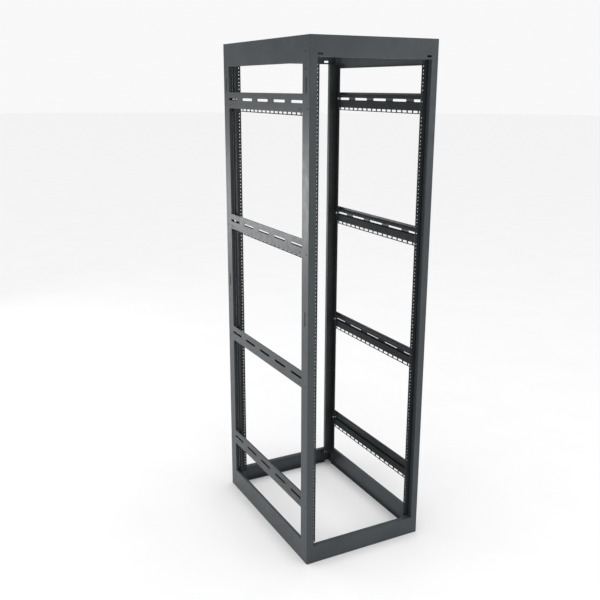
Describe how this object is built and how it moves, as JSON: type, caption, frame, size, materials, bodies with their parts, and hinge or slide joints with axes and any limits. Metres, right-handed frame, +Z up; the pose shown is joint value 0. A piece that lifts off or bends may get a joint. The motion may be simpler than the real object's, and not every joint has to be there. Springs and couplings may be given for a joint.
{
  "type": "server rack frame",
  "caption": "Open welded steel rack frame for 19 inch equipment, with slotted side braces and four rack rails that slide in depth.",
  "frame": {"origin": "on the floor, at the middle of the frame's footprint", "axes": "+X to the right seen from the front, +Y to the rear, +Z up"},
  "size_m": [0.5588, 0.8002, 2.1114],
  "materials": {
    "frame": "satin charcoal powder coat",
    "bar": "satin black powder coat",
    "rail": "satin black powder coat",
    "zinc": "bright zinc plate"
  },
  "bodies": {
    "frame": {"post_front_left": "frame", "post_front_right": "frame", "post_rear_left": "frame", "post_rear_right": "frame", "header_front": "frame", "header_rear": "frame", "header_left": "frame", "header_right": "frame", "kick_front": "frame", "kick_rear": "frame", "kick_left": "frame", "kick_right": "frame", "brace_left_1": "frame", "brace_left_2": "frame", "brace_left_3": "frame", "brace_left_4": "frame", "brace_right_1": "frame", "brace_right_2": "frame", "brace_right_3": "frame", "brace_right_4": "frame", "rail_bar_left_1": "bar", "rail_bar_left_2": "bar", "rail_bar_left_3": "bar", "rail_bar_left_4": "bar", "rail_bar_right_1": "bar", "rail_bar_right_2": "bar", "rail_bar_right_3": "bar", "rail_bar_right_4": "bar", "corner_plate_front_left": "frame", "corner_plate_front_right": "frame", "corner_plate_rear_left": "frame", "corner_plate_rear_right": "frame", "foot_nut_front_left": "zinc", "foot_nut_front_right": "zinc", "foot_nut_rear_left": "zinc", "foot_nut_rear_right": "zinc"},
    "rail_front_left": {"rack_rail_front_left": "rail", "rail_bolts_front_left": "zinc", "rail_nuts_front_left": "zinc"},
    "rail_front_right": {"rack_rail_front_right": "rail", "rail_bolts_front_right": "zinc", "rail_nuts_front_right": "zinc"},
    "rail_rear_left": {"rack_rail_rear_left": "rail", "rail_bolts_rear_left": "zinc", "rail_nuts_rear_left": "zinc"},
    "rail_rear_right": {"rack_rail_rear_right": "rail", "rail_bolts_rear_right": "zinc", "rail_nuts_rear_right": "zinc"}
  },
  "joints": [
    {"name": "rail_slide_front_left", "type": "slide", "parent": "frame", "child": "rail_front_left", "axis": [0, 1, 0], "range_m": [0, 0.3]},
    {"name": "rail_slide_front_right", "type": "slide", "parent": "frame", "child": "rail_front_right", "axis": [0, 1, 0], "range_m": [0, 0.3]},
    {"name": "rail_slide_rear_left", "type": "slide", "parent": "frame", "child": "rail_rear_left", "axis": [0, 1, 0], "range_m": [-0.3, 0.029]},
    {"name": "rail_slide_rear_right", "type": "slide", "parent": "frame", "child": "rail_rear_right", "axis": [0, 1, 0], "range_m": [-0.3, 0.029]}
  ]
}
